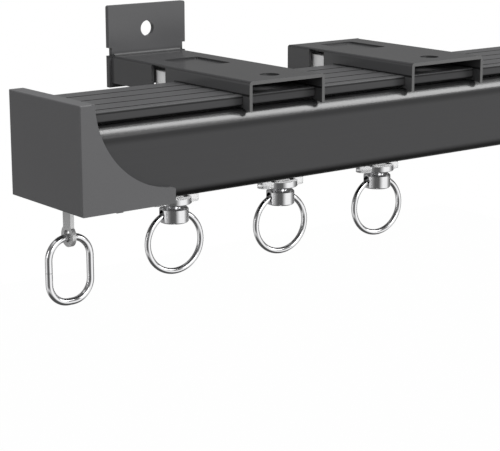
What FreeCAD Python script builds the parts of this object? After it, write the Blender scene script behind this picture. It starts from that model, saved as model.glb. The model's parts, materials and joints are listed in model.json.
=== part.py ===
# Curtain track with two snap-on brackets, roller gliders and end caps that carry an oval ring.
# All lengths are in millimetres. Every solid is drawn from the left cap's front top corner,
# with X along the track, Y toward the wall and Z up. It is then moved so that the origin is
# the centre of the wall bracket's screw hole, on the wall.
import FreeCAD
import Part
import math
import os

V = FreeCAD.Vector
AXIS_X, AXIS_Y, AXIS_Z = V(1, 0, 0), V(0, 1, 0), V(0, 0, 1)

# Fits
RUN_GAP = 0.08          # radial clearance of a pin that turns
AXIAL_GAP = 0.15        # end play of a turning piece
SEAT_GAP = 0.02         # clearance of a piece pressed into its seat
MOVE_GAP = 0.3          # distance kept between pieces that pass each other
PLUG_GAP = 0.1          # clearance of a cap in the rail

# Track as a whole
SPAN = 300.0            # length over both end caps

# End cap
CAP_HIGH = 36.0
CAP_DEEP = 45.0
CAP_WALL = 5.6
CAP_SKIN = 2.0
CAP_LEG = 36.2
CAP_ARC = 31.4
CAP_ARC_UP = 0.8
CAP_ROUND = 0.5
PLUG_LONG = 10.4
PLUG_TOP = -14.0

# Rail section
PLATE_FRONT = 4.8
PLATE_REAR = CAP_DEEP
PLATE_TOP = -3.5
SHEET = 1.8
LIP_LOW = -6.8
LIP_THICK = 1.6
GROOVE_FIRST = 3.9
GROOVE_PITCH = 9.3
GROOVE_COUNT = 4
GROOVE_WIDE = 1.0
GROOVE_DEEP = 0.9
RAIL_LOW = -35.1
FASCIA_FRONT = 2.1
FASCIA_ROUND = 3.2
BEAD_R = 4.0            # outer radius of the rolled top edge of the valance face
BEAD_TOP = -8.2
SLOT_MID = (PLATE_FRONT + PLATE_REAR) / 2
SLOT_HALF = 3.4
CHANNEL_HALF = 12.9
CHANNEL_WALL = 1.5

# Glider
GLIDER_FIRST = 52.6
GLIDER_PITCH = 47.6
GLIDER_X = (GLIDER_FIRST, GLIDER_FIRST + GLIDER_PITCH, GLIDER_FIRST + 2 * GLIDER_PITCH, SPAN - GLIDER_FIRST)
WHEEL_R = 11.0
WHEEL_WIDE = 6.1
WHEEL_IN = 5.9
AXLE_R = 1.5
AXLE_HEAD_R = 2.5
BLADE_LONG = 17.0
BLADE_THICK = 5.6
SHOULDER_LONG = 19.8
SHOULDER_THICK = 5.7
SHOULDER_TOP = -39.9
SHOULDER_LOW = -42.4
COLLAR_R = 6.3
COLLAR_FLAT = 5.5
COLLAR_TOP = -40.3
COLLAR_LOW = -42.5
PIN_R = 1.5
HEAD_R = 3.1
NECK_R = 2.9
NECK_LOW = -43.9
BARREL_R = 5.15
BARREL_LOW = -49.2
BARREL_FLAT = 4.9
CROSS_R = 1.8
RING_OUTER = 11.75
RING_WIRE = 1.075
RING_MID_Z = -56.35
RING_YAW = -5.0         # the swivels stand turned a little at rest

# Cap hook and oval ring
HOOK_X = 9.0
HOOK_THICK = 1.45
HOOK_WIDE = 4.8
EYE_R = 3.75
EYE_HOLE = 2.1
EYE_Z = -47.9
OVAL_WIDE = 18.6
OVAL_HIGH = 24.8
OVAL_BEND = 7.3
OVAL_WIRE = 1.225
OVAL_DROP = 0.45        # the ring's wire hangs this far below the eye's centre
OVAL_SPLIT = 0.15

# Brackets
ARM_TOP = 1.5
ARM_SHEET = 1.2
ARM_HIGH = 10.25
ARM_FRONT = 0.6
ARM_BEND = 1.3
WALL_ARM_MID = 84.0
WALL_ARM_WIDE = 33.1
CEILING_ARM_MID = 160.45
CEILING_ARM_WIDE = 36.5
PLATE_THICK = 2.0
PLATE_WIDE = 35.1
PLATE_HIGH = 20.4
PLATE_LOW = -10.5
RELIEF_TOP = 4.5
RELIEF_DEEP = 1.3
SCREW_R = 3.0
SCREW_Z = 10.9
ARM_HOLE_R = 3.5
ARM_HOLE_Y = 10.8
JAW_BACK = PLATE_FRONT + 2.8
JAW_TOP = LIP_LOW - 0.2
NOTCH_FRONT = PLATE_FRONT - 0.3
NOTCH_REAR = PLATE_REAR + 0.4
WINDOW_TOP = 1.0

# Lever
LEVER_Y = NOTCH_REAR + 9.1
WINDOW = (LEVER_Y - 3.8, LEVER_Y + 5.2)
PLATE_FACE = LEVER_Y + 32.0
CEILING_END = LEVER_Y + 18.5
DISH_WIDE = 16.0
DISH_LONG = 21.5
DISH_CORNER = 1.2
DISH_DEEP = 0.6
WASHER_THICK = 0.4
WASHER_R = 4.6
HUB_R = 6.0
LEVER_LOW = -8.4
CAM_R = 9.0
TONGUE_R = 13.0
TONGUE_WIDE = 8.0
GRIP_FRONT = 5.0
GRIP_REAR = 8.5
STUD_R = 2.5
STUD_HEAD_R = 4.0
STUD_HEAD_THICK = 0.8

ORIGIN = V(WALL_ARM_MID, PLATE_FACE + PLATE_THICK, SCREW_Z)


# Helpers

def box(x0, x1, y0, y1, z0, z1):
    return Part.makeBox(x1 - x0, y1 - y0, z1 - z0, V(x0, y0, z0))


def rod(radius, start, end):
    way = end - start
    return Part.makeCylinder(radius, way.Length, start, way)


def join(first, *rest):
    return first.multiFuse(list(rest)).removeSplitter()


def face_from(steps):
    # Each step is a point to go to, or a pair of points for an arc through the first one.
    here = steps[0]
    edges = []
    for step in list(steps[1:]) + [steps[0]]:
        if isinstance(step, tuple):
            edges.append(Part.Arc(here, step[0], step[1]).toShape())
            here = step[1]
        elif (step - here).Length > 1e-6:
            edges.append(Part.LineSegment(here, step).toShape())
            here = step
    return Part.Face(Part.Wire(edges))


def arc_steps(centre, radius, start_deg, end_deg, place):
    # The start point, then the middle and end of an arc, placed in a plane by a function.
    def at(deg):
        turn = math.radians(deg)
        return place(centre[0] + radius * math.cos(turn), centre[1] + radius * math.sin(turn))
    return [at(start_deg), (at((start_deg + end_deg) / 2.0), at(end_deg))]


def in_yz(y, z):
    return V(0, y, z)


def turned(profile, middle):
    # A solid of revolution about the vertical through a point, from (radius, height) pairs.
    points = [V(middle.x + r, middle.y, z) for r, z in profile]
    return Part.Face(Part.makePolygon(points + points[:1])).revolve(V(middle.x, middle.y, 0), AXIS_Z, 360)


def mirrored(shape):
    return shape.mirror(V(SPAN / 2.0, 0, 0), AXIS_X)


# Rail

def rail_section():
    low_inner = RAIL_LOW + SHEET
    ceiling = PLATE_TOP - SHEET
    wall_in = (SLOT_MID - CHANNEL_HALF, SLOT_MID + CHANNEL_HALF)
    wall_out = (wall_in[0] - CHANNEL_WALL, wall_in[1] + CHANNEL_WALL)
    bead_mid = (FASCIA_FRONT + BEAD_R, BEAD_TOP - BEAD_R)
    inner_face = FASCIA_FRONT + SHEET
    edge = 0.4
    steps = []
    steps += arc_steps((PLATE_FRONT + edge, PLATE_TOP - edge), edge, 180, 90, in_yz)
    for count in range(GROOVE_COUNT):
        middle = PLATE_FRONT + GROOVE_FIRST + GROOVE_PITCH * count
        half = GROOVE_WIDE / 2.0
        steps += [in_yz(middle - half, PLATE_TOP), in_yz(middle - half, PLATE_TOP - GROOVE_DEEP)]
        steps += [in_yz(middle + half, PLATE_TOP - GROOVE_DEEP), in_yz(middle + half, PLATE_TOP)]
    steps += arc_steps((PLATE_REAR - edge, PLATE_TOP - edge), edge, 90, 0, in_yz)
    steps += [in_yz(PLATE_REAR, LIP_LOW), in_yz(PLATE_REAR - LIP_THICK, LIP_LOW)]
    steps += [in_yz(PLATE_REAR - LIP_THICK, ceiling), in_yz(wall_out[1], ceiling)]
    steps += arc_steps((wall_out[1] - 1.0, RAIL_LOW + 1.0), 1.0, 0, -90, in_yz)
    steps += [in_yz(SLOT_MID + SLOT_HALF, RAIL_LOW), in_yz(SLOT_MID + SLOT_HALF, low_inner)]
    steps += [in_yz(wall_in[1], low_inner), in_yz(wall_in[1], ceiling)]
    steps += [in_yz(wall_in[0], ceiling), in_yz(wall_in[0], low_inner)]
    steps += [in_yz(SLOT_MID - SLOT_HALF, low_inner), in_yz(SLOT_MID - SLOT_HALF, RAIL_LOW)]
    steps += arc_steps((FASCIA_FRONT + FASCIA_ROUND, RAIL_LOW + FASCIA_ROUND), FASCIA_ROUND, -90, -180, in_yz)
    steps += arc_steps(bead_mid, BEAD_R, 180, 90, in_yz)
    steps += arc_steps((bead_mid[0], BEAD_TOP - SHEET / 2), SHEET / 2, 90, -90, in_yz)[1:]
    steps += arc_steps(bead_mid, BEAD_R - SHEET, 90, 180, in_yz)[1:]
    round_in = FASCIA_ROUND - SHEET
    steps += arc_steps((inner_face + round_in, low_inner + round_in), round_in, 180, 270, in_yz)
    steps += [in_yz(wall_out[0], low_inner), in_yz(wall_out[0], ceiling)]
    steps += [in_yz(PLATE_FRONT + LIP_THICK, ceiling), in_yz(PLATE_FRONT + LIP_THICK, LIP_LOW)]
    steps += [in_yz(PLATE_FRONT, LIP_LOW)]
    return face_from(steps)


def track_rail():
    start = CAP_WALL + PLUG_GAP
    rail = rail_section().extrude(V(SPAN - 2 * start, 0, 0))
    rail.translate(V(start, 0, 0))
    return rail


# End caps

def cap_leg(y0, y1, top):
    reach = CAP_WALL + CAP_ARC
    leg = box(CAP_WALL - 1.0, CAP_LEG, y0, y1, -CAP_HIGH, top)
    leg = leg.cut(rod(CAP_ARC, V(reach, y0 - 1, CAP_ARC_UP), V(reach, y1 + 1, CAP_ARC_UP)))
    tip = CAP_ARC_UP - CAP_ARC
    corner = 0.8
    trim = box(CAP_LEG - corner, CAP_LEG + 1, y0 - 1, y1 + 1, tip - corner, tip + 1)
    trim = trim.cut(rod(corner, V(CAP_LEG - corner, y0 - 2, tip - corner), V(CAP_LEG - corner, y1 + 2, tip - corner)))
    return leg.cut(trim)


def end_cap():
    wall = box(0, CAP_WALL, 0, CAP_DEEP, -CAP_HIGH, 0)
    rim = [e for e in wall.Edges if all(v.Point.x < 1e-6 for v in e.Vertexes)]
    top_front = [e for e in wall.Edges if all(v.Point.y < 1e-6 and v.Point.z > -1e-6 for v in e.Vertexes)]
    wall = wall.makeFillet(CAP_ROUND, rim + top_front)
    front = cap_leg(0, CAP_SKIN, 0)
    rear = cap_leg(CAP_DEEP - CAP_SKIN, CAP_DEEP, LIP_LOW - MOVE_GAP)
    floor_top = RAIL_LOW - PLUG_GAP
    floor = box(CAP_WALL - 1.0, CAP_LEG, CAP_SKIN / 2, CAP_DEEP - CAP_SKIN / 2, -CAP_HIGH, floor_top)
    half = CHANNEL_HALF - PLUG_GAP
    plug_low = RAIL_LOW + SHEET + PLUG_GAP
    end = CAP_WALL + PLUG_LONG
    plug = box(CAP_WALL - 1.0, end, SLOT_MID - half, SLOT_MID + half, plug_low, PLUG_TOP)
    web = box(CAP_WALL - 1.0, end, SLOT_MID - SLOT_HALF + PLUG_GAP, SLOT_MID + SLOT_HALF - PLUG_GAP,
              floor_top - 0.3, plug_low + 0.3)
    nub = box(13.2, 15.6, 0.2, 1.5, -CAP_HIGH - 0.3, -CAP_HIGH + 0.5)
    cap = join(wall, front, rear, floor, plug, web, nub)
    gap = SEAT_GAP
    slot = box(HOOK_X - gap, HOOK_X + HOOK_THICK + gap, SLOT_MID - HOOK_WIDE / 2 - gap,
               SLOT_MID + HOOK_WIDE / 2 + gap, -CAP_HIGH - 1, PLUG_TOP + 1)
    head_low = PLUG_TOP - 12.0
    head = box(HOOK_X - gap, HOOK_X + HOOK_THICK + gap, SLOT_MID - HOOK_WIDE / 2 - 2 - gap,
               SLOT_MID + HOOK_WIDE / 2 + 2 + gap, head_low - gap, PLUG_TOP + 1)
    return cap.cut(slot).cut(head)


def cap_hook():
    head_low = PLUG_TOP - 12.0
    tab = box(HOOK_X, HOOK_X + HOOK_THICK, SLOT_MID - HOOK_WIDE / 2, SLOT_MID + HOOK_WIDE / 2, EYE_Z, head_low + 1)
    head = box(HOOK_X, HOOK_X + HOOK_THICK, SLOT_MID - HOOK_WIDE / 2 - 2, SLOT_MID + HOOK_WIDE / 2 + 2,
               head_low, head_low + 3)
    eye = rod(EYE_R, V(HOOK_X, SLOT_MID, EYE_Z), V(HOOK_X + HOOK_THICK, SLOT_MID, EYE_Z))
    hole = rod(EYE_HOLE, V(HOOK_X - 1, SLOT_MID, EYE_Z), V(HOOK_X + HOOK_THICK + 1, SLOT_MID, EYE_Z))
    return join(tab, head, eye).cut(hole)


def cap_ring():
    # A rounded rectangle of round wire, split on one long side.
    mid_x = HOOK_X + HOOK_THICK / 2
    half_wide = OVAL_WIDE / 2 - OVAL_WIRE
    half_high = OVAL_HIGH / 2 - OVAL_WIRE
    mid_z = EYE_Z - OVAL_DROP - half_high
    run_x, run_z = half_wide - OVAL_BEND, half_high - OVAL_BEND
    pieces = []
    for side_x in (1, -1):
        foot = V(mid_x + side_x * half_wide, SLOT_MID, mid_z - run_z)
        pieces.append(rod(OVAL_WIRE, foot, foot + V(0, 0, 2 * run_z)))
        foot = V(mid_x - run_x, SLOT_MID, mid_z + side_x * half_high)
        pieces.append(rod(OVAL_WIRE, foot, foot + V(2 * run_x, 0, 0)))
        for side_z in (1, -1):
            centre = V(mid_x + side_x * run_x, SLOT_MID, mid_z + side_z * run_z)
            bend = Part.makeTorus(OVAL_BEND, OVAL_WIRE, centre, AXIS_Y)
            reach = 2 * OVAL_BEND
            keep = box(min(centre.x, centre.x + side_x * reach), max(centre.x, centre.x + side_x * reach),
                       SLOT_MID - 5, SLOT_MID + 5,
                       min(centre.z, centre.z + side_z * reach), max(centre.z, centre.z + side_z * reach))
            pieces.append(bend.common(keep))
    ring = join(*pieces)
    split = box(mid_x - half_wide - 3, mid_x - half_wide + 3, SLOT_MID - 3, SLOT_MID + 3,
                mid_z - OVAL_SPLIT / 2, mid_z + OVAL_SPLIT / 2)
    return ring.cut(split)


# Brackets

def arm_channel(middle, wide, end):
    left, right = middle - wide / 2, middle + wide / 2
    low = ARM_TOP - ARM_HIGH
    outer = box(left, right, ARM_FRONT, end, low, ARM_TOP)
    long_edges = [e for e in outer.Edges
                  if all(v.Point.z > ARM_TOP - 1e-6 for v in e.Vertexes) and e.Length > wide + 1]
    outer = outer.makeFillet(ARM_BEND, long_edges)
    inner = box(left + ARM_SHEET, right - ARM_SHEET, ARM_FRONT - 1, end + 1, low - 1, ARM_TOP - ARM_SHEET)
    arm = outer.cut(inner)
    slope = (LIP_LOW - 0.55 - low) / (JAW_BACK + 0.4 - ARM_FRONT)
    jaw_low = low + slope * (JAW_BACK + 0.4 - ARM_FRONT)
    far = NOTCH_REAR
    notch = face_from([in_yz(NOTCH_FRONT, PLATE_TOP), in_yz(far, PLATE_TOP), in_yz(far, low - 1),
                       in_yz(ARM_FRONT, low - 1), in_yz(ARM_FRONT, low), in_yz(JAW_BACK + 0.4, jaw_low),
                       in_yz(JAW_BACK, JAW_TOP), in_yz(NOTCH_FRONT, JAW_TOP)])
    notch = notch.extrude(V(wide + 10, 0, 0))
    notch.translate(V(left - 5, 0, 0))
    arm = arm.cut(notch)
    for side in (left, right - ARM_SHEET):
        arm = arm.cut(box(side - 0.5, side + ARM_SHEET + 0.5, WINDOW[0], WINDOW[1], low - 1, WINDOW_TOP))
    pad = dish(middle, ARM_TOP - ARM_SHEET - DISH_DEEP, ARM_TOP - ARM_SHEET + 0.2, 0.8)
    arm = join(arm, pad)
    arm = arm.cut(dish(middle, ARM_TOP - DISH_DEEP, ARM_TOP + 1, 0.0))
    return arm.cut(rod(ARM_HOLE_R, V(middle, ARM_HOLE_Y, -3), V(middle, ARM_HOLE_Y, 3)))


def dish(middle, low, high, grow):
    wide, long = DISH_WIDE / 2 + grow, DISH_LONG / 2 + grow
    shape = box(middle - wide, middle + wide, LEVER_Y - long, LEVER_Y + long, low, high)
    corners = [e for e in shape.Edges if abs(e.Vertexes[0].Point.z - e.Vertexes[1].Point.z) > 0.1]
    return shape.makeFillet(DISH_CORNER + grow, corners)


def wall_bracket():
    middle, wide = WALL_ARM_MID, WALL_ARM_WIDE
    arm = arm_channel(middle, wide, PLATE_FACE + PLATE_THICK / 2)
    back = PLATE_FACE + PLATE_THICK
    left, right = middle - PLATE_WIDE / 2, middle + PLATE_WIDE / 2
    plate = box(left, right, PLATE_FACE, back, PLATE_LOW, PLATE_HIGH)
    corners = [e for e in plate.Edges if all(v.Point.z > PLATE_HIGH - 1e-6 for v in e.Vertexes) and e.Length < 3]
    plate = plate.makeFillet(0.8, corners)
    for edge in (left, right - RELIEF_DEEP):
        plate = plate.cut(box(edge, edge + RELIEF_DEEP, PLATE_FACE - 1, back + 1, ARM_TOP, RELIEF_TOP))
    bend = 1.0
    fillet = box(middle - wide / 2 + ARM_BEND, middle + wide / 2 - ARM_BEND, PLATE_FACE - bend,
                 PLATE_FACE + 0.5, ARM_TOP - 0.3, ARM_TOP + bend)
    fillet = fillet.cut(rod(bend, V(middle - wide, PLATE_FACE - bend, ARM_TOP + bend),
                            V(middle + wide, PLATE_FACE - bend, ARM_TOP + bend)))
    shape = join(arm, plate, fillet)
    return shape.cut(rod(SCREW_R, V(middle, PLATE_FACE - 1, SCREW_Z), V(middle, back + 1, SCREW_Z)))


def ceiling_bracket():
    middle, wide = CEILING_ARM_MID, CEILING_ARM_WIDE
    arm = arm_channel(middle, wide, CEILING_END)
    left, right = middle - wide / 2, middle + wide / 2
    shape = join(arm, box(left, right, CEILING_END - ARM_SHEET, CEILING_END, ARM_TOP - ARM_HIGH, ARM_TOP))
    edge = V(left - 1, CEILING_END - ARM_BEND, ARM_TOP - ARM_BEND)
    far = edge + V(wide + 2, 0, 0)
    corner = box(left - 1, right + 1, edge.y, CEILING_END + 1, edge.z, ARM_TOP + 1)
    return shape.cut(corner.cut(rod(ARM_BEND, edge, far)))


def lever_stud(middle):
    top = ARM_TOP - ARM_SHEET - DISH_DEEP
    low = LEVER_LOW + 0.05
    shank = rod(STUD_R, V(middle, LEVER_Y, low), V(middle, LEVER_Y, top))
    head = rod(STUD_HEAD_R, V(middle, LEVER_Y, low), V(middle, LEVER_Y, low + STUD_HEAD_THICK))
    return join(shank, head)


def lever_washer(middle):
    top = ARM_TOP - ARM_SHEET - DISH_DEEP
    ring = rod(WASHER_R, V(middle, LEVER_Y, top - WASHER_THICK), V(middle, LEVER_Y, top))
    return ring.cut(rod(STUD_R + SEAT_GAP, V(middle, LEVER_Y, top - 2), V(middle, LEVER_Y, top + 2)))


def lock_lever(middle, wide):
    top = ARM_TOP - ARM_SHEET - DISH_DEEP - WASHER_THICK - AXIAL_GAP
    pivot = V(middle, LEVER_Y, 0)

    def disc(radius, low, high):
        return rod(radius, pivot + V(0, 0, low), pivot + V(0, 0, high))
    half = TONGUE_WIDE / 2
    hub = disc(HUB_R, LEVER_LOW, top)
    cam = box(middle - half, middle + half, LEVER_Y - 20, LEVER_Y, LEVER_LOW, top)
    cam = cam.common(disc(CAM_R, LEVER_LOW, top))
    tongue = box(middle - half, middle + half, LEVER_Y - 20, LEVER_Y, LEVER_LOW, LIP_LOW - MOVE_GAP)
    tongue = tongue.common(disc(TONGUE_R, LEVER_LOW, LIP_LOW - MOVE_GAP))
    reach = wide / 2 - ARM_SHEET - MOVE_GAP
    grip_low, grip_top = LEVER_LOW + 0.3, top - 0.3
    grip = box(middle - reach - 1, middle, LEVER_Y - GRIP_FRONT, LEVER_Y + GRIP_REAR, grip_low, grip_top)
    grip = grip.common(disc(reach, grip_low, grip_top))
    lever = join(hub, cam, tongue, grip)
    lever = lever.cut(disc(STUD_R + RUN_GAP, LEVER_LOW - 1, top + 1))
    seat = LEVER_LOW + 0.05 + STUD_HEAD_THICK + AXIAL_GAP
    return lever.cut(disc(STUD_HEAD_R + MOVE_GAP, LEVER_LOW - 1, seat))


# Gliders

def axle_z():
    return RAIL_LOW + SHEET + WHEEL_R + 0.1


def plan_slab(x, long, thick, low, high):
    # A slab with half-round ends in plan.
    half = thick / 2
    reach = long / 2 - half
    slab = box(x - reach, x + reach, SLOT_MID - half, SLOT_MID + half, low, high)
    ends = [rod(half, V(x + side * reach, SLOT_MID, low), V(x + side * reach, SLOT_MID, high)) for side in (1, -1)]
    return join(slab, *ends)


def carriage(x):
    up = axle_z()
    shoulder = plan_slab(x, SHOULDER_LONG, SHOULDER_THICK, SHOULDER_LOW, SHOULDER_TOP)
    blade = plan_slab(x, BLADE_LONG, BLADE_THICK, SHOULDER_TOP - 0.5, up - 3.0)
    hub = rod(4.2, V(x, SLOT_MID - WHEEL_IN + MOVE_GAP, up), V(x, SLOT_MID + WHEEL_IN - MOVE_GAP, up))
    post_r = 3.4
    dome_low = up + 8.6
    post = rod(post_r, V(x, SLOT_MID, up), V(x, SLOT_MID, dome_low))
    dome = Part.makeSphere(post_r, V(x, SLOT_MID, dome_low)).common(
        box(x - 5, x + 5, SLOT_MID - 5, SLOT_MID + 5, dome_low - 0.5, dome_low + 5))
    ribs = []
    for side in (-1, 1):
        ribs.append(box(min(x, x + side * 5.2), max(x, x + side * 5.2), SLOT_MID - 0.6, SLOT_MID + 0.6, up, dome_low))
        ribs.append(box(x - 0.6, x + 0.6, min(SLOT_MID, SLOT_MID + side * 4.6),
                        max(SLOT_MID, SLOT_MID + side * 4.6), up, dome_low))
    body = join(shoulder, blade, hub, post, dome, *ribs)
    body = body.cut(rod(AXLE_R + RUN_GAP, V(x, 0, up), V(x, CAP_DEEP, up)))
    seat = COLLAR_FLAT + SEAT_GAP
    return body.cut(box(x - seat, x + seat, 0, CAP_DEEP, SHOULDER_LOW - 1, COLLAR_TOP))


def axle(x):
    up = axle_z()
    reach = WHEEL_IN + WHEEL_WIDE - 0.2
    pin = rod(AXLE_R, V(x, SLOT_MID - reach, up), V(x, SLOT_MID + reach, up))
    heads = [rod(AXLE_HEAD_R, V(x, SLOT_MID + side * (reach - 0.8), up), V(x, SLOT_MID + side * reach, up))
             for side in (-1, 1)]
    shape = join(pin, *heads)
    for side in (-1, 1):
        shape = shape.cut(rod(0.8, V(x, SLOT_MID + side * (reach - 1.5), up), V(x, SLOT_MID + side * (reach + 1), up)))
    return shape


def wheel(x, side):
    up = axle_z()
    mid = WHEEL_IN + WHEEL_WIDE / 2
    half = WHEEL_WIDE / 2
    web = 0.9
    hub_r, rim_r = 4.4, 8.4
    seat = 1.0

    def at(radius, across):
        return V(x, SLOT_MID + side * (mid + across), up + radius)
    crown = half - 0.6
    face = face_from([at(AXLE_R, -half), at(hub_r, -half), at(hub_r, -web), at(rim_r, -web), at(rim_r, -half),
                      at(WHEEL_R - 1.4, -half), at(WHEEL_R - 0.5, -crown),
                      (at(WHEEL_R, 0), at(WHEEL_R - 0.5, crown)), at(WHEEL_R - 1.4, half),
                      at(rim_r, half), at(rim_r, web),
                      at(hub_r, web), at(hub_r, half), at(AXLE_HEAD_R + 0.1, half),
                      at(AXLE_HEAD_R + 0.1, half - seat), at(AXLE_R, half - seat)])
    shape = face.revolve(V(x, SLOT_MID, up), AXIS_Y, 360)
    holes = []
    for count in range(5):
        turn = math.radians(90 + 72 * count)
        spot = V(x + 6.4 * math.cos(turn), SLOT_MID, up + 6.4 * math.sin(turn))
        holes.append(rod(1.2, spot + V(0, side * (mid - 3), 0), spot + V(0, side * (mid + 3), 0)))
    return shape.cut(Part.makeCompound(holes))


def collar(x):
    disc = rod(COLLAR_R, V(x, SLOT_MID, COLLAR_LOW), V(x, SLOT_MID, COLLAR_TOP))
    rims = [e for e in disc.Edges if e.Closed and abs(e.Vertexes[0].Point.z - COLLAR_LOW) < 1e-6]
    disc = disc.makeChamfer(0.25, rims)
    disc = disc.common(box(x - COLLAR_FLAT, x + COLLAR_FLAT, 0, CAP_DEEP, COLLAR_LOW, COLLAR_TOP))
    floor = COLLAR_LOW + 0.8
    disc = disc.cut(rod(HEAD_R + MOVE_GAP, V(x, SLOT_MID, floor), V(x, SLOT_MID, COLLAR_TOP + 1)))
    return disc.cut(rod(PIN_R + RUN_GAP, V(x, SLOT_MID, COLLAR_LOW - 1), V(x, SLOT_MID, floor + 1)))


def swivel(x):
    middle = V(x, SLOT_MID, 0)
    head_low = COLLAR_LOW + 0.8 + AXIAL_GAP
    neck_top = COLLAR_LOW - AXIAL_GAP
    bead = (neck_top + NECK_LOW) / 2
    profile = [(0, COLLAR_TOP - 0.25), (HEAD_R, COLLAR_TOP - 0.25), (HEAD_R, head_low), (PIN_R, head_low),
               (PIN_R, neck_top), (NECK_R - 0.3, neck_top), (NECK_R, neck_top - 0.2), (NECK_R, bead + 0.25),
               (NECK_R + 0.3, bead), (NECK_R, bead - 0.25), (NECK_R, NECK_LOW + 0.1),
               (BARREL_R - 0.5, NECK_LOW), (BARREL_R, NECK_LOW - 0.5), (BARREL_R, BARREL_LOW + 0.4),
               (BARREL_R - 0.4, BARREL_LOW), (0, BARREL_LOW)]
    shape = turned(profile, middle)
    reach = 2 * BARREL_R
    shape = shape.cut(box(x + BARREL_FLAT, x + reach, 0, CAP_DEEP, BARREL_LOW - 1, NECK_LOW + 1))
    shape = shape.cut(box(x - reach, x - BARREL_FLAT, 0, CAP_DEEP, BARREL_LOW - 1, NECK_LOW + 1))
    up = hinge_z()
    shape = shape.cut(rod(CROSS_R, V(x - reach, SLOT_MID, up), V(x + reach, SLOT_MID, up)))
    shape.rotate(middle, AXIS_Z, RING_YAW)
    return shape


def hinge_z():
    # The height of the ring's wire inside the barrel, halfway between its middle and its ends.
    mean = RING_OUTER - RING_WIRE
    return RING_MID_Z + (mean + math.sqrt(mean ** 2 - BARREL_FLAT ** 2)) / 2


def ring(x):
    shape = Part.makeTorus(RING_OUTER - RING_WIRE, RING_WIRE, V(x, SLOT_MID, RING_MID_Z), AXIS_Y)
    shape.rotate(V(x, SLOT_MID, 0), AXIS_Z, RING_YAW)
    return shape


# Output

def save(name, shape):
    shape = shape.copy()
    shape.translate(ORIGIN * -1)
    if not shape.isValid() or len(shape.Solids) != 1:
        raise ValueError("%s: valid %s, solids %d" % (name, shape.isValid(), len(shape.Solids)))
    shape.Solids[0].exportStep("parts/%s.step" % name)


os.makedirs("parts", exist_ok=True)
save("track_rail", track_rail())
for name, maker in (("end_cap", end_cap), ("cap_hook", cap_hook), ("cap_ring", cap_ring)):
    made = maker()
    save(name + "_left", made)
    save(name + "_right", mirrored(made))
save("wall_bracket", wall_bracket())
save("ceiling_bracket", ceiling_bracket())
for side, middle, wide in (("wall", WALL_ARM_MID, WALL_ARM_WIDE), ("ceiling", CEILING_ARM_MID, CEILING_ARM_WIDE)):
    save("lever_stud_" + side, lever_stud(middle))
    save("lever_washer_" + side, lever_washer(middle))
    save("lock_lever_" + side, lock_lever(middle, wide))
for number, x in enumerate(GLIDER_X, 1):
    save("carriage_%d" % number, carriage(x))
    save("axle_%d" % number, axle(x))
    save("wheel_front_%d" % number, wheel(x, -1))
    save("wheel_rear_%d" % number, wheel(x, 1))
    save("collar_%d" % number, collar(x))
    save("swivel_%d" % number, swivel(x))
    save("ring_%d" % number, ring(x))
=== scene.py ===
import bpy
import json
import math
from mathutils import Matrix, Vector


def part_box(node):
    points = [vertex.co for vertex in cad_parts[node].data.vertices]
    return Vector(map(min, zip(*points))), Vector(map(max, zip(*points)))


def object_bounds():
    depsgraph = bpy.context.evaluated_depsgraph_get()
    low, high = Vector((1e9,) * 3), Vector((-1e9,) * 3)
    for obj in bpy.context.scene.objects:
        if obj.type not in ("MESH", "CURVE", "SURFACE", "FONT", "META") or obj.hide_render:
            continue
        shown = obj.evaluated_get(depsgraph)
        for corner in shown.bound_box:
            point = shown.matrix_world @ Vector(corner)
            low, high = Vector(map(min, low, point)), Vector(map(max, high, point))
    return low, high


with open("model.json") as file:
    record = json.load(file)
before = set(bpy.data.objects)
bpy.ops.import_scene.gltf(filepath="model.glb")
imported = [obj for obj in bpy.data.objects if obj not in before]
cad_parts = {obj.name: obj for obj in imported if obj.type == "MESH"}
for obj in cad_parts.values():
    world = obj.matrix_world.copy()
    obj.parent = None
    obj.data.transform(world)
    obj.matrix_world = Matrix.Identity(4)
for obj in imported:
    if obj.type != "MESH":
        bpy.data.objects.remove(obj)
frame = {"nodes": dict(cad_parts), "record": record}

cad_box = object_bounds()
nodes = frame["nodes"]
MM = 0.001               # all lengths are in metres

# The x axis runs along the track, y from its front to the wall, and z up.
RAIL_LOW, RAIL_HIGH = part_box("track_rail")
ARM_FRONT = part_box("wall_bracket")[0].y
ARM_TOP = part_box("ceiling_bracket")[1].z
UPRIGHT_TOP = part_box("wall_bracket")[1].z

# Coatings of the rail and the brackets, and how clear the nylon is
RAIL_GREY = (0.079, 0.079, 0.081)
BRACKET_GREY = (0.070, 0.070, 0.072)
# Painted highlight on the brackets' sheared front edges
EDGE_HIGHLIGHT_GREY = (0.105, 0.105, 0.105)
EDGE_HIGHLIGHT_REACH = (0.05 * MM, 0.35 * MM)         # behind the sheared front edge: where the painted highlight is full and where it is gone
NYLON_IOR = 1.15

# A level band in millimetres: its middle, half its full height, half its height with the soft ends,
# and the tone inside. The middles of the rail's bands are depths below its top face.
ROLLED_GLOSS = (6.5, 1.2, 2.2, 0.0)
# Painted shade on the rail, in level bands
RAIL_PAINTED_SHADES = (
    (7.4, 1.8, 4.0, 0.45),       # painted shade on the rolled edge of the valance face
    (0.72, 0.12, 0.4, 0.25),     # painted shade line below the plate's front edge
    (2.1, 1.2, 1.6, 0.7),        # painted shade on the front of the lip
    (4.4, 0.9, 1.7, 0.35),       # painted shade in the gap under the lip
    (23.0, 12.0, 16.0, 0.66),    # painted shade on the valance face
)
FOOT_PAINTED_SHADE = (0.0, 1.6, 4.0, 0.12)          # painted shade on the underside round, above the rail's lowest point
SEAT_PAINTED_SHADOW = (0.15, 0.25, 0.5, 0.15)        # painted shadow where an arm sits on the rail's top face
# Painted shade on the arms' level tops
ARM_TOP_PAINTED_SHADE = (0.0, 0.6, 0.8, 0.55)
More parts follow.
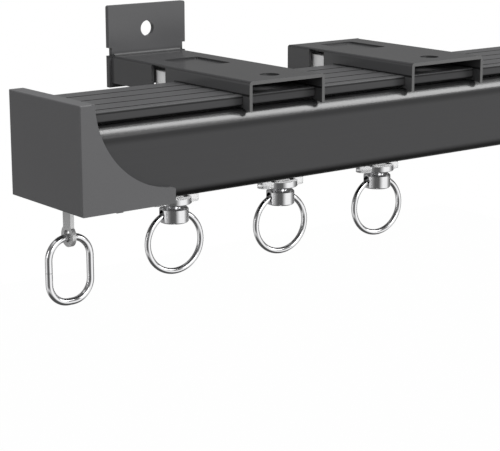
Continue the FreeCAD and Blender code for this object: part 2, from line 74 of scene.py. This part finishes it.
# Painted light on the upright plate
UPRIGHT_PAINTED_LIGHT = 1.35
UPRIGHT_CLEAR = (2.0 * MM, 0.8 * MM)        # the painted light on the upright plate ends this far above the arm
GROOVE_TONE = 0.12
GROOVE_STARTS = (0.01 * MM, 0.08 * MM)      # depths below the plate at which a groove's tone fades in
GROOVE_ENDS = (1.0 * MM, 1.2 * MM)          # and out
GROOVE_MARGIN = 4.0 * MM                    # no grooves this near to the plate's edges

# Depths of the fine bumps
GRAIN_DEPTH = 0.05 * MM
LINE_DEPTH = 0.02 * MM
CHROME_DEPTH = 0.01 * MM

# What polished metal sees round the studio, as (place, value) from 0 to 1.
# The walls go round from behind the track: place 0.5 is straight in front of it.
WALLS = ((0.0, 0.25), (0.09, 0.25), (0.14, 0.8), (0.19, 0.9), (0.24, 0.55), (0.30, 0.2),
         (0.34, 0.10), (0.44, 0.10), (0.50, 0.7), (0.53, 1.0), (0.64, 1.0), (0.69, 0.45),
         (0.74, 0.2), (0.80, 0.10), (1.0, 0.06))
# The levels go from straight down to straight up, and the walls show at some of them.
LEVELS = ((0.0, 0.08), (0.14, 0.08), (0.24, 0.7), (0.32, 0.7), (0.42, 0.5), (0.5, 0.30),
          (0.60, 0.165), (0.70, 0.165), (0.83, 0.15), (1.0, 0.9))
WALL_SHARE = ((0.22, 0.0), (0.30, 1.0), (0.48, 1.0), (0.58, 0.0))
# The soft light on all else, by level, and its share on the left.
AMBIENT = ((0.0, 0.02), (0.42, 0.08), (0.58, 0.5), (0.75, 1.75), (1.0, 1.7))
LEFT_SHARE = 0.42
LEFT_END, RIGHT_END = -1.0, 0.2          # between these ways to the side it rises to the whole

FLOOR_DROP = 2.5         # metres below the object
FLOOR_HALF = 8.0
FLOOR_GREY = (0.2, 0.2, 0.2)
FLOOR_WHITE = 0.99

CAMERA_PLACE = (-0.34493, -0.51539, 0.06927)
CAMERA_RIGHT = Vector((0.79284, -0.60942, -0.00115))
CAMERA_UP = Vector((0.14211, 0.18304, 0.97278))
CAMERA_WAY = Vector((0.59262, 0.77143, -0.23173))
CAMERA_LENS = 115.93
CAMERA_SENSOR = 36.0
CAMERA_NEAR = 0.01


# Shader building blocks

NODE_STEP = 220.0        # keeps the nodes of a tree apart
MIX_SHARE, MIX_FIRST, MIX_SECOND, MIX_RESULT = 0, 6, 7, 2       # places of a colour mix's sockets


def node(tree, kind, **settings):
    made = tree.nodes.new(kind)
    made.location.x = -NODE_STEP * len(tree.nodes)
    for name, value in settings.items():
        setattr(made, name, value)
    return made


def feed(tree, socket, value):
    # A socket takes another node's output or a plain value.
    if isinstance(value, bpy.types.NodeSocket):
        tree.links.new(value, socket)
    else:
        socket.default_value = value


def fill(tree, made, **values):
    for name, value in values.items():
        feed(tree, made.inputs[name.replace("_", " ")], value)
    return made


def calc(tree, operation, *values):
    made = node(tree, "ShaderNodeMath", operation=operation)
    for socket, value in zip(made.inputs, values):
        feed(tree, socket, value)
    return made.outputs["Value"]


def ranged(tree, value, kind="LINEAR", **ends):
    made = node(tree, "ShaderNodeMapRange", interpolation_type=kind)
    return fill(tree, made, Value=value, **ends).outputs["Result"]


def scaled(tree, colour, tone):
    made = node(tree, "ShaderNodeVectorMath", operation="SCALE")
    feed(tree, made.inputs[0], colour)
    feed(tree, made.inputs["Scale"], tone)
    return made.outputs["Vector"]


def mixed(tree, share, first, second):
    made = node(tree, "ShaderNodeMix", data_type="RGBA")
    for place, value in ((MIX_SHARE, share), (MIX_FIRST, first), (MIX_SECOND, second)):
        feed(tree, made.inputs[place], value)
    return made.outputs[MIX_RESULT]


def coordinates(tree, kind="Object"):
    place = node(tree, "ShaderNodeTexCoord")
    parts = node(tree, "ShaderNodeSeparateXYZ")
    tree.links.new(place.outputs[kind], parts.inputs[0])
    return parts.outputs


def new_group(name, ins, outs):
    # A named effect: the inputs come with their usual values.
    group = bpy.data.node_groups.new(name, "ShaderNodeTree")
    for label, usual in ins.items():
        socket = group.interface.new_socket(label, in_out="INPUT", socket_type="NodeSocketFloat")
        socket.default_value = usual
    for label in outs:
        group.interface.new_socket(label, in_out="OUTPUT", socket_type="NodeSocketFloat")
    return group, node(group, "NodeGroupInput").outputs, node(group, "NodeGroupOutput")


def effect(tree, group, **values):
    return fill(tree, node(tree, "ShaderNodeGroup", node_tree=group), **values).outputs


# Named effects

def fine_grain():
    # A mottled tone and a fine height, for moulded and powder-coated surfaces.
    group, given, sink = new_group(
        "fine grain", {"Scale": 900.0, "Low": 0.9, "High": 1.1}, ("Tone", "Height"))
    place = node(group, "ShaderNodeTexCoord").outputs["Object"]
    speck = node(group, "ShaderNodeTexNoise")
    fill(group, speck, Vector=place, Scale=given["Scale"], Detail=3.0, Roughness=0.6)
    cloud = node(group, "ShaderNodeTexNoise")
    fill(group, cloud, Vector=place, Scale=35.0, Detail=2.0)
    both = calc(group, "ADD", speck.outputs["Fac"], cloud.outputs["Fac"])
    tone = ranged(group, both, From_Min=0.6, From_Max=1.4, To_Min=given["Low"], To_Max=given["High"])
    fill(group, sink, Tone=tone, Height=speck.outputs["Fac"])
    return group


def drawn_lines():
    # Faint streaks along the track, as an extrusion die leaves them.
    group, given, sink = new_group("drawn lines", {"Low": 0.9, "High": 1.1}, ("Tone", "Height"))
    place = node(group, "ShaderNodeTexCoord").outputs["Object"]
    stretch = node(group, "ShaderNodeMapping")
    fill(group, stretch, Vector=place, Scale=(6.0, 1500.0, 1500.0))
    streak = node(group, "ShaderNodeTexNoise")
    fill(group, streak, Vector=stretch.outputs["Vector"], Scale=1.0, Detail=3.0, Roughness=0.6)
    tone = ranged(group, streak.outputs["Fac"], From_Min=0.3, From_Max=0.7,
                  To_Min=given["Low"], To_Max=given["High"])
    fill(group, sink, Tone=tone, Height=streak.outputs["Fac"])
    return group


def height_line():
    # One everywhere but in a soft level band round a given height, which has a tone of its own.
    group, given, sink = new_group(
        "height line", {"Height": 0.0, "Core": 0.2 * MM, "Reach": 0.4 * MM, "Dark": 0.3}, ("Tone",))
    away = calc(group, "SUBTRACT", coordinates(group)["Z"], given["Height"])
    tone = ranged(group, calc(group, "ABSOLUTE", away), "SMOOTHSTEP", From_Min=given["Core"],
                  From_Max=given["Reach"], To_Min=given["Dark"], To_Max=1.0)
    fill(group, sink, Tone=tone)
    return group


def groove_shade():
    # One outside the grooves of the rail's top plate and dark inside them, where little light reaches.
    group, given, sink = new_group("groove shade", {"Top": 0.0, "Dark": 0.3}, ("Tone",))
    point = coordinates(group)
    depth = calc(group, "SUBTRACT", given["Top"], point["Z"])
    start, full = GROOVE_STARTS
    fade, end = GROOVE_ENDS
    below = ranged(group, depth, From_Min=start, From_Max=full)
    above = ranged(group, depth, From_Min=fade, From_Max=end, To_Min=1.0, To_Max=0.0)
    middle = (RAIL_LOW.y + RAIL_HIGH.y) / 2
    half = (RAIL_HIGH.y - RAIL_LOW.y) / 2
    inside = calc(group, "COMPARE", point["Y"], middle, half - GROOVE_MARGIN)
    share = calc(group, "MULTIPLY", calc(group, "MULTIPLY", below, above), inside)
    fill(group, sink, Tone=ranged(group, share, To_Min=1.0, To_Max=given["Dark"]))
    return group


GRAIN = fine_grain()
LINES = drawn_lines()
LEVEL_LINE = height_line()


def level_band(tree, height, core, reach, tone):
    return effect(tree, LEVEL_LINE, Height=height, Core=core, Reach=reach, Dark=tone)["Tone"]


# Materials

def surface(name, colour, roughness, metallic=0.0):
    material = bpy.data.materials.new(name)
    material.use_nodes = True
    tree = material.node_tree
    shader = tree.nodes["Principled BSDF"]
    fill(tree, shader, Base_Color=(*colour, 1.0), Roughness=roughness, Metallic=metallic)
    return material, tree, shader


def bumped(tree, shader, height, strength, distance):
    bump = node(tree, "ShaderNodeBump")
    fill(tree, bump, Height=height, Strength=strength, Distance=distance)
    fill(tree, shader, Normal=bump.outputs["Normal"])


def grained(name, colour, roughness, scale, spread, bump, metallic=0.0, milky=0.0,
            depth=GRAIN_DEPTH):
    material, tree, shader = surface(name, colour, roughness, metallic)
    if milky:
        fill(tree, shader, Transmission_Weight=milky, IOR=NYLON_IOR)
    grain = effect(tree, GRAIN, Scale=scale, Low=1.0 - spread, High=1.0 + spread)
    fill(tree, shader, Base_Color=scaled(tree, colour, grain["Tone"]))
    bumped(tree, shader, grain["Height"], bump, depth)
    return material


def chrome(name, colour, roughness):
    return grained(name, colour, roughness, scale=1500.0, spread=0.03, bump=0.01, metallic=1.0,
                   depth=CHROME_DEPTH)


def rail_paint():
    # Satin on the flat faces, glossier on the rolled edge of the valance face, with painted shade in
    # level bands and in the grooves.
    material, tree, shader = surface("rail coating", RAIL_GREY, 0.36)
    fill(tree, shader, Specular_IOR_Level=0.15, Coat_Roughness=0.24, Coat_IOR=2.0)

    def below_top(depth, core, reach, tone):
        return level_band(tree, RAIL_HIGH.z - depth * MM, core * MM, reach * MM, tone)

    gloss = ranged(tree, below_top(*ROLLED_GLOSS), To_Min=1.0, To_Max=0.04)
    fill(tree, shader, Coat_Weight=gloss)
    lines = effect(tree, LINES, Low=0.985, High=1.015)
    grooves = effect(tree, groove_shade(), Top=RAIL_HIGH.z, Dark=GROOVE_TONE)
    tone = calc(tree, "MULTIPLY", lines["Tone"], grooves["Tone"])
    # Painted shade in level bands down the rail and above its lowest point.
    for band in RAIL_PAINTED_SHADES:
        tone = calc(tree, "MULTIPLY", tone, below_top(*band))
    middle, core, reach, dark = FOOT_PAINTED_SHADE
    foot = level_band(tree, RAIL_LOW.z + middle * MM, core * MM, reach * MM, dark)
    tone = calc(tree, "MULTIPLY", tone, foot)
    fill(tree, shader, Base_Color=scaled(tree, RAIL_GREY, tone))
    bumped(tree, shader, lines["Height"], 0.03, LINE_DEPTH)
    return material


def bracket_paint():
    # Painted shadow where an arm sits on the rail, painted shade on the arms' level tops, painted
    # light on the upright plate, and a painted highlight on the sheared front edge.
    material, tree, shader = surface("bracket coating", BRACKET_GREY, 0.18)
    fill(tree, shader, Specular_IOR_Level=0.5)
    from_front = coordinates(tree)["Y"]
    grain = effect(tree, GRAIN, Scale=1600.0, Low=0.96, High=1.04)
    # Painted shadow where an arm sits on the rail, only in front of the rail's rear edge.
    middle, core, reach, dark = SEAT_PAINTED_SHADOW
    seat = level_band(tree, RAIL_HIGH.z + middle * MM, core * MM, reach * MM, dark)
    behind = calc(tree, "GREATER_THAN", from_front, RAIL_HIGH.y)
    tone = calc(tree, "MULTIPLY", grain["Tone"], calc(tree, "MAXIMUM", seat, behind))
    # Painted light on the upright plate above the arm.
    core, reach = (UPRIGHT_TOP - ARM_TOP - clear for clear in UPRIGHT_CLEAR)
    tone = calc(tree, "MULTIPLY", tone, level_band(tree, UPRIGHT_TOP, core, reach, UPRIGHT_PAINTED_LIGHT))
    # Painted shade on the arms' level tops.
    middle, core, reach, dark = ARM_TOP_PAINTED_SHADE
    level = level_band(tree, ARM_TOP + middle * MM, core * MM, reach * MM, dark)
    tone = calc(tree, "MULTIPLY", tone, level)
    # The sheared front edge is painted lighter: a painted highlight for the light its edges catch.
    highlight_full, highlight_gone = (ARM_FRONT + reach for reach in EDGE_HIGHLIGHT_REACH)
    sheared = ranged(tree, from_front, From_Min=highlight_full, From_Max=highlight_gone, To_Min=1.0, To_Max=0.0)
    paint = mixed(tree, sheared, scaled(tree, BRACKET_GREY, tone), (*EDGE_HIGHLIGHT_GREY, 1.0))
    fill(tree, shader, Base_Color=paint)
    bumped(tree, shader, grain["Height"], 0.15, GRAIN_DEPTH)
    return material


FINISH = {
    "rail_metal": rail_paint(),
    "cap_plastic": grained("cap plastic", (0.102, 0.102, 0.105), roughness=0.42,
                           scale=1400.0, spread=0.04, bump=0.25),
    "bracket_steel": bracket_paint(),
    "hook_steel": grained("steel", (0.74, 0.74, 0.74), roughness=0.3,
                          scale=900.0, spread=0.04, bump=0.1, metallic=0.6),
    "lever_metal": grained("die-cast lever", (0.97, 0.97, 0.97), roughness=0.35,
                           scale=900.0, spread=0.03, bump=0.1),
    "nylon": grained("white nylon", (0.96, 0.96, 0.96), roughness=0.25,
                     scale=900.0, spread=0.03, bump=0.1, milky=0.92),
    "wheel_nylon": grained("wheel nylon", (0.88, 0.88, 0.89), roughness=0.4,
                           scale=900.0, spread=0.03, bump=0.1, milky=0.6),
    "barrel_chrome": chrome("barrel chrome", (0.86, 0.86, 0.87), roughness=0.16),
    "ring_chrome": chrome("ring chrome", (0.90, 0.90, 0.91), roughness=0.12),
}
slots = {part["node"]: part["material_slot"] for part in frame["record"]["subparts"]}
for name, piece in nodes.items():
    piece.data.materials.clear()
    piece.data.materials.append(FINISH[slots[name]])


# Studio

def white_seen(tree):
    # The plain background shows to the eye and through clear pieces.
    seen = node(tree, "ShaderNodeLightPath").outputs
    return seen, calc(tree, "MAXIMUM", seen["Is Camera Ray"], seen["Is Transmission Ray"])


def studio_floor():
    # Reflections pass through the floor, and all other light falls on its grey.
    low = cad_box[0].z - FLOOR_DROP
    corners = [(x * FLOOR_HALF, y * FLOOR_HALF, low) for x, y in ((-1, -1), (1, -1), (1, 1), (-1, 1))]
    mesh = bpy.data.meshes.new("floor")
    mesh.from_pydata(corners, [], [(0, 1, 2, 3)])
    sheet = bpy.data.objects.new("floor", mesh)
    bpy.context.scene.collection.objects.link(sheet)
    material, tree, shader = surface("floor", FLOOR_GREY, 0.9)
    seen, white = white_seen(tree)
    lit = node(tree, "ShaderNodeMixShader")
    tree.links.new(calc(tree, "MULTIPLY", white, FLOOR_WHITE), lit.inputs[0])
    tree.links.new(shader.outputs[0], lit.inputs[1])
    tree.links.new(node(tree, "ShaderNodeEmission").outputs[0], lit.inputs[2])
    passed = node(tree, "ShaderNodeMixShader")
    tree.links.new(seen["Is Glossy Ray"], passed.inputs[0])
    tree.links.new(lit.outputs[0], passed.inputs[1])
    tree.links.new(node(tree, "ShaderNodeBsdfTransparent").outputs[0], passed.inputs[2])
    tree.links.new(passed.outputs[0], tree.nodes["Material Output"].inputs["Surface"])
    mesh.materials.append(material)


def tone_ramp(tree, place, stops):
    ramp = node(tree, "ShaderNodeValToRGB")
    elements = ramp.color_ramp.elements
    while len(elements) < len(stops):
        elements.new(0.5)
    for stop, (position, value) in zip(elements, stops):
        stop.position = position
        stop.color = (value, value, value, 1.0)
    return fill(tree, ramp, Fac=place).outputs["Color"]


def studio_world():
    world = bpy.data.worlds.new("studio")
    bpy.context.scene.world = world
    world.use_nodes = True
    tree = world.node_tree
    way = coordinates(tree, "Generated")
    turn = calc(tree, "ARCTAN2", way["X"], calc(tree, "MULTIPLY", way["Y"], -1.0))
    height = ranged(tree, way["Z"], From_Min=-1.0, From_Max=1.0)
    walls = tone_ramp(tree, ranged(tree, turn, From_Min=-math.pi, From_Max=math.pi), WALLS)
    levels = tone_ramp(tree, height, LEVELS)
    room = mixed(tree, tone_ramp(tree, height, WALL_SHARE), levels, walls)
    side = ranged(tree, way["X"], From_Min=LEFT_END, From_Max=RIGHT_END, To_Min=LEFT_SHARE)
    soft = scaled(tree, tone_ramp(tree, height, AMBIENT), side)
    seen, white = white_seen(tree)
    light = mixed(tree, seen["Is Glossy Ray"], soft, room)
    light = mixed(tree, white, light, (1.0, 1.0, 1.0, 1.0))
    fill(tree, tree.nodes["Background"], Color=light)


def lamp(name, place, target, size, power):
    data = bpy.data.lights.new(name, "AREA")
    data.shape = "RECTANGLE"
    data.size, data.size_y = size
    data.energy = power
    made = bpy.data.objects.new(name, data)
    turn = (Vector(target) - Vector(place)).to_track_quat("-Z", "Y").to_matrix().to_4x4()
    made.matrix_world = Matrix.Translation(place) @ turn
    bpy.context.scene.collection.objects.link(made)


def studio_camera():
    data = bpy.data.cameras.new("camera")
    data.sensor_width = CAMERA_SENSOR
    data.lens = CAMERA_LENS
    data.clip_start = CAMERA_NEAR
    camera = bpy.data.objects.new("camera", data)
    turn = Matrix((CAMERA_RIGHT, CAMERA_UP, -CAMERA_WAY)).transposed().to_4x4()
    camera.matrix_world = Matrix.Translation(CAMERA_PLACE) @ turn
    bpy.context.scene.collection.objects.link(camera)
    bpy.context.scene.camera = camera


studio_floor()
studio_world()
lamp("key softbox", (0.72, -0.64, 0.80), (0.04, -0.086, -0.012), size=(0.5, 1.6), power=9.0)
lamp("front softbox", (0.0, -1.3, 0.3), (0.05, 0.0, -0.03), size=(0.6, 0.6), power=3.0)
lamp("left softbox", (-1.4, 0.0, 0.3), (0.0, 0.0, -0.03), size=(0.3, 0.6), power=1.6)
studio_camera()
bpy.context.scene.view_settings.view_transform = "Standard"
